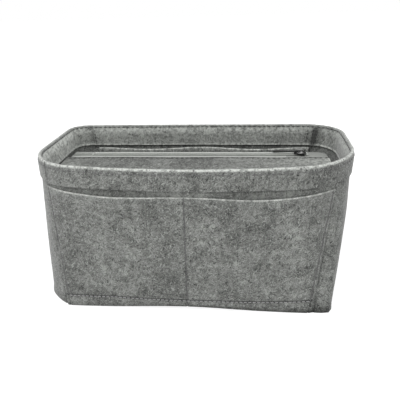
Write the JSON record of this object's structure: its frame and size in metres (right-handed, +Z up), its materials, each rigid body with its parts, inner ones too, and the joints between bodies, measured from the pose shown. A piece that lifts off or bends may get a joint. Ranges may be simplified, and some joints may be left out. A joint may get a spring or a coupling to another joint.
{
  "type": "purse organizer insert",
  "caption": "Flared felt tub insert for a handbag with a folded collar, slip pockets front and back, a divider and a zipped lid that lifts, with a sliding zip pull.",
  "frame": {"origin": "on the floor under the middle of the part's box", "axes": "+X to the right along the length, -Y towards the front pocket, +Z up"},
  "size_m": [0.3008, 0.166, 0.1365],
  "materials": {
    "felt": "matte heathered felt",
    "tape": "matte woven tape",
    "coil": "satin nylon",
    "zip_metal": "dark plated, satin"
  },
  "bodies": {
    "shell": {"front_wall": "felt", "back_wall": "felt", "left_end_wall": "felt", "right_end_wall": "felt", "base_panel": "felt", "collar_front": "felt", "collar_back": "felt", "collar_left": "felt", "collar_right": "felt", "front_pocket": "felt", "inner_back_pocket": "felt", "lid_hem": "felt", "divider_panel": "felt", "zip_tape_rear": "tape", "zip_end_left": "tape", "zip_end_right": "tape", "zip_coil_rear": "coil", "zip_coil_stub_left": "coil", "zip_coil_stub_right": "coil", "zip_coil_tail_front": "coil", "zip_coil_tail_rear": "coil", "top_stop_front": "coil", "top_stop_rear": "coil", "bottom_stop": "coil"},
    "lid": {"zip_lid": "felt", "zip_tape_front": "tape", "zip_coil_front": "coil"},
    "slider": {"slider_body": "zip_metal"},
    "pull": {"pull_tab": "zip_metal"}
  },
  "joints": [
    {"name": "lid_hinge", "type": "hinge", "parent": "shell", "child": "lid", "pos_m": [0, -0.03709, 0.1132], "axis": [1, 0, 0], "range_deg": [0, 85]},
    {"name": "zip_slide", "type": "slide", "parent": "shell", "child": "slider", "axis": [1, 0, 0], "range_m": [-0.2171, 0]},
    {"name": "pull_hinge", "type": "hinge", "parent": "slider", "child": "pull", "pos_m": [0.10617, 0.04961, 0.11445], "axis": [0.2588, 0.9659, 0], "range_deg": [0, 170]}
  ]
}
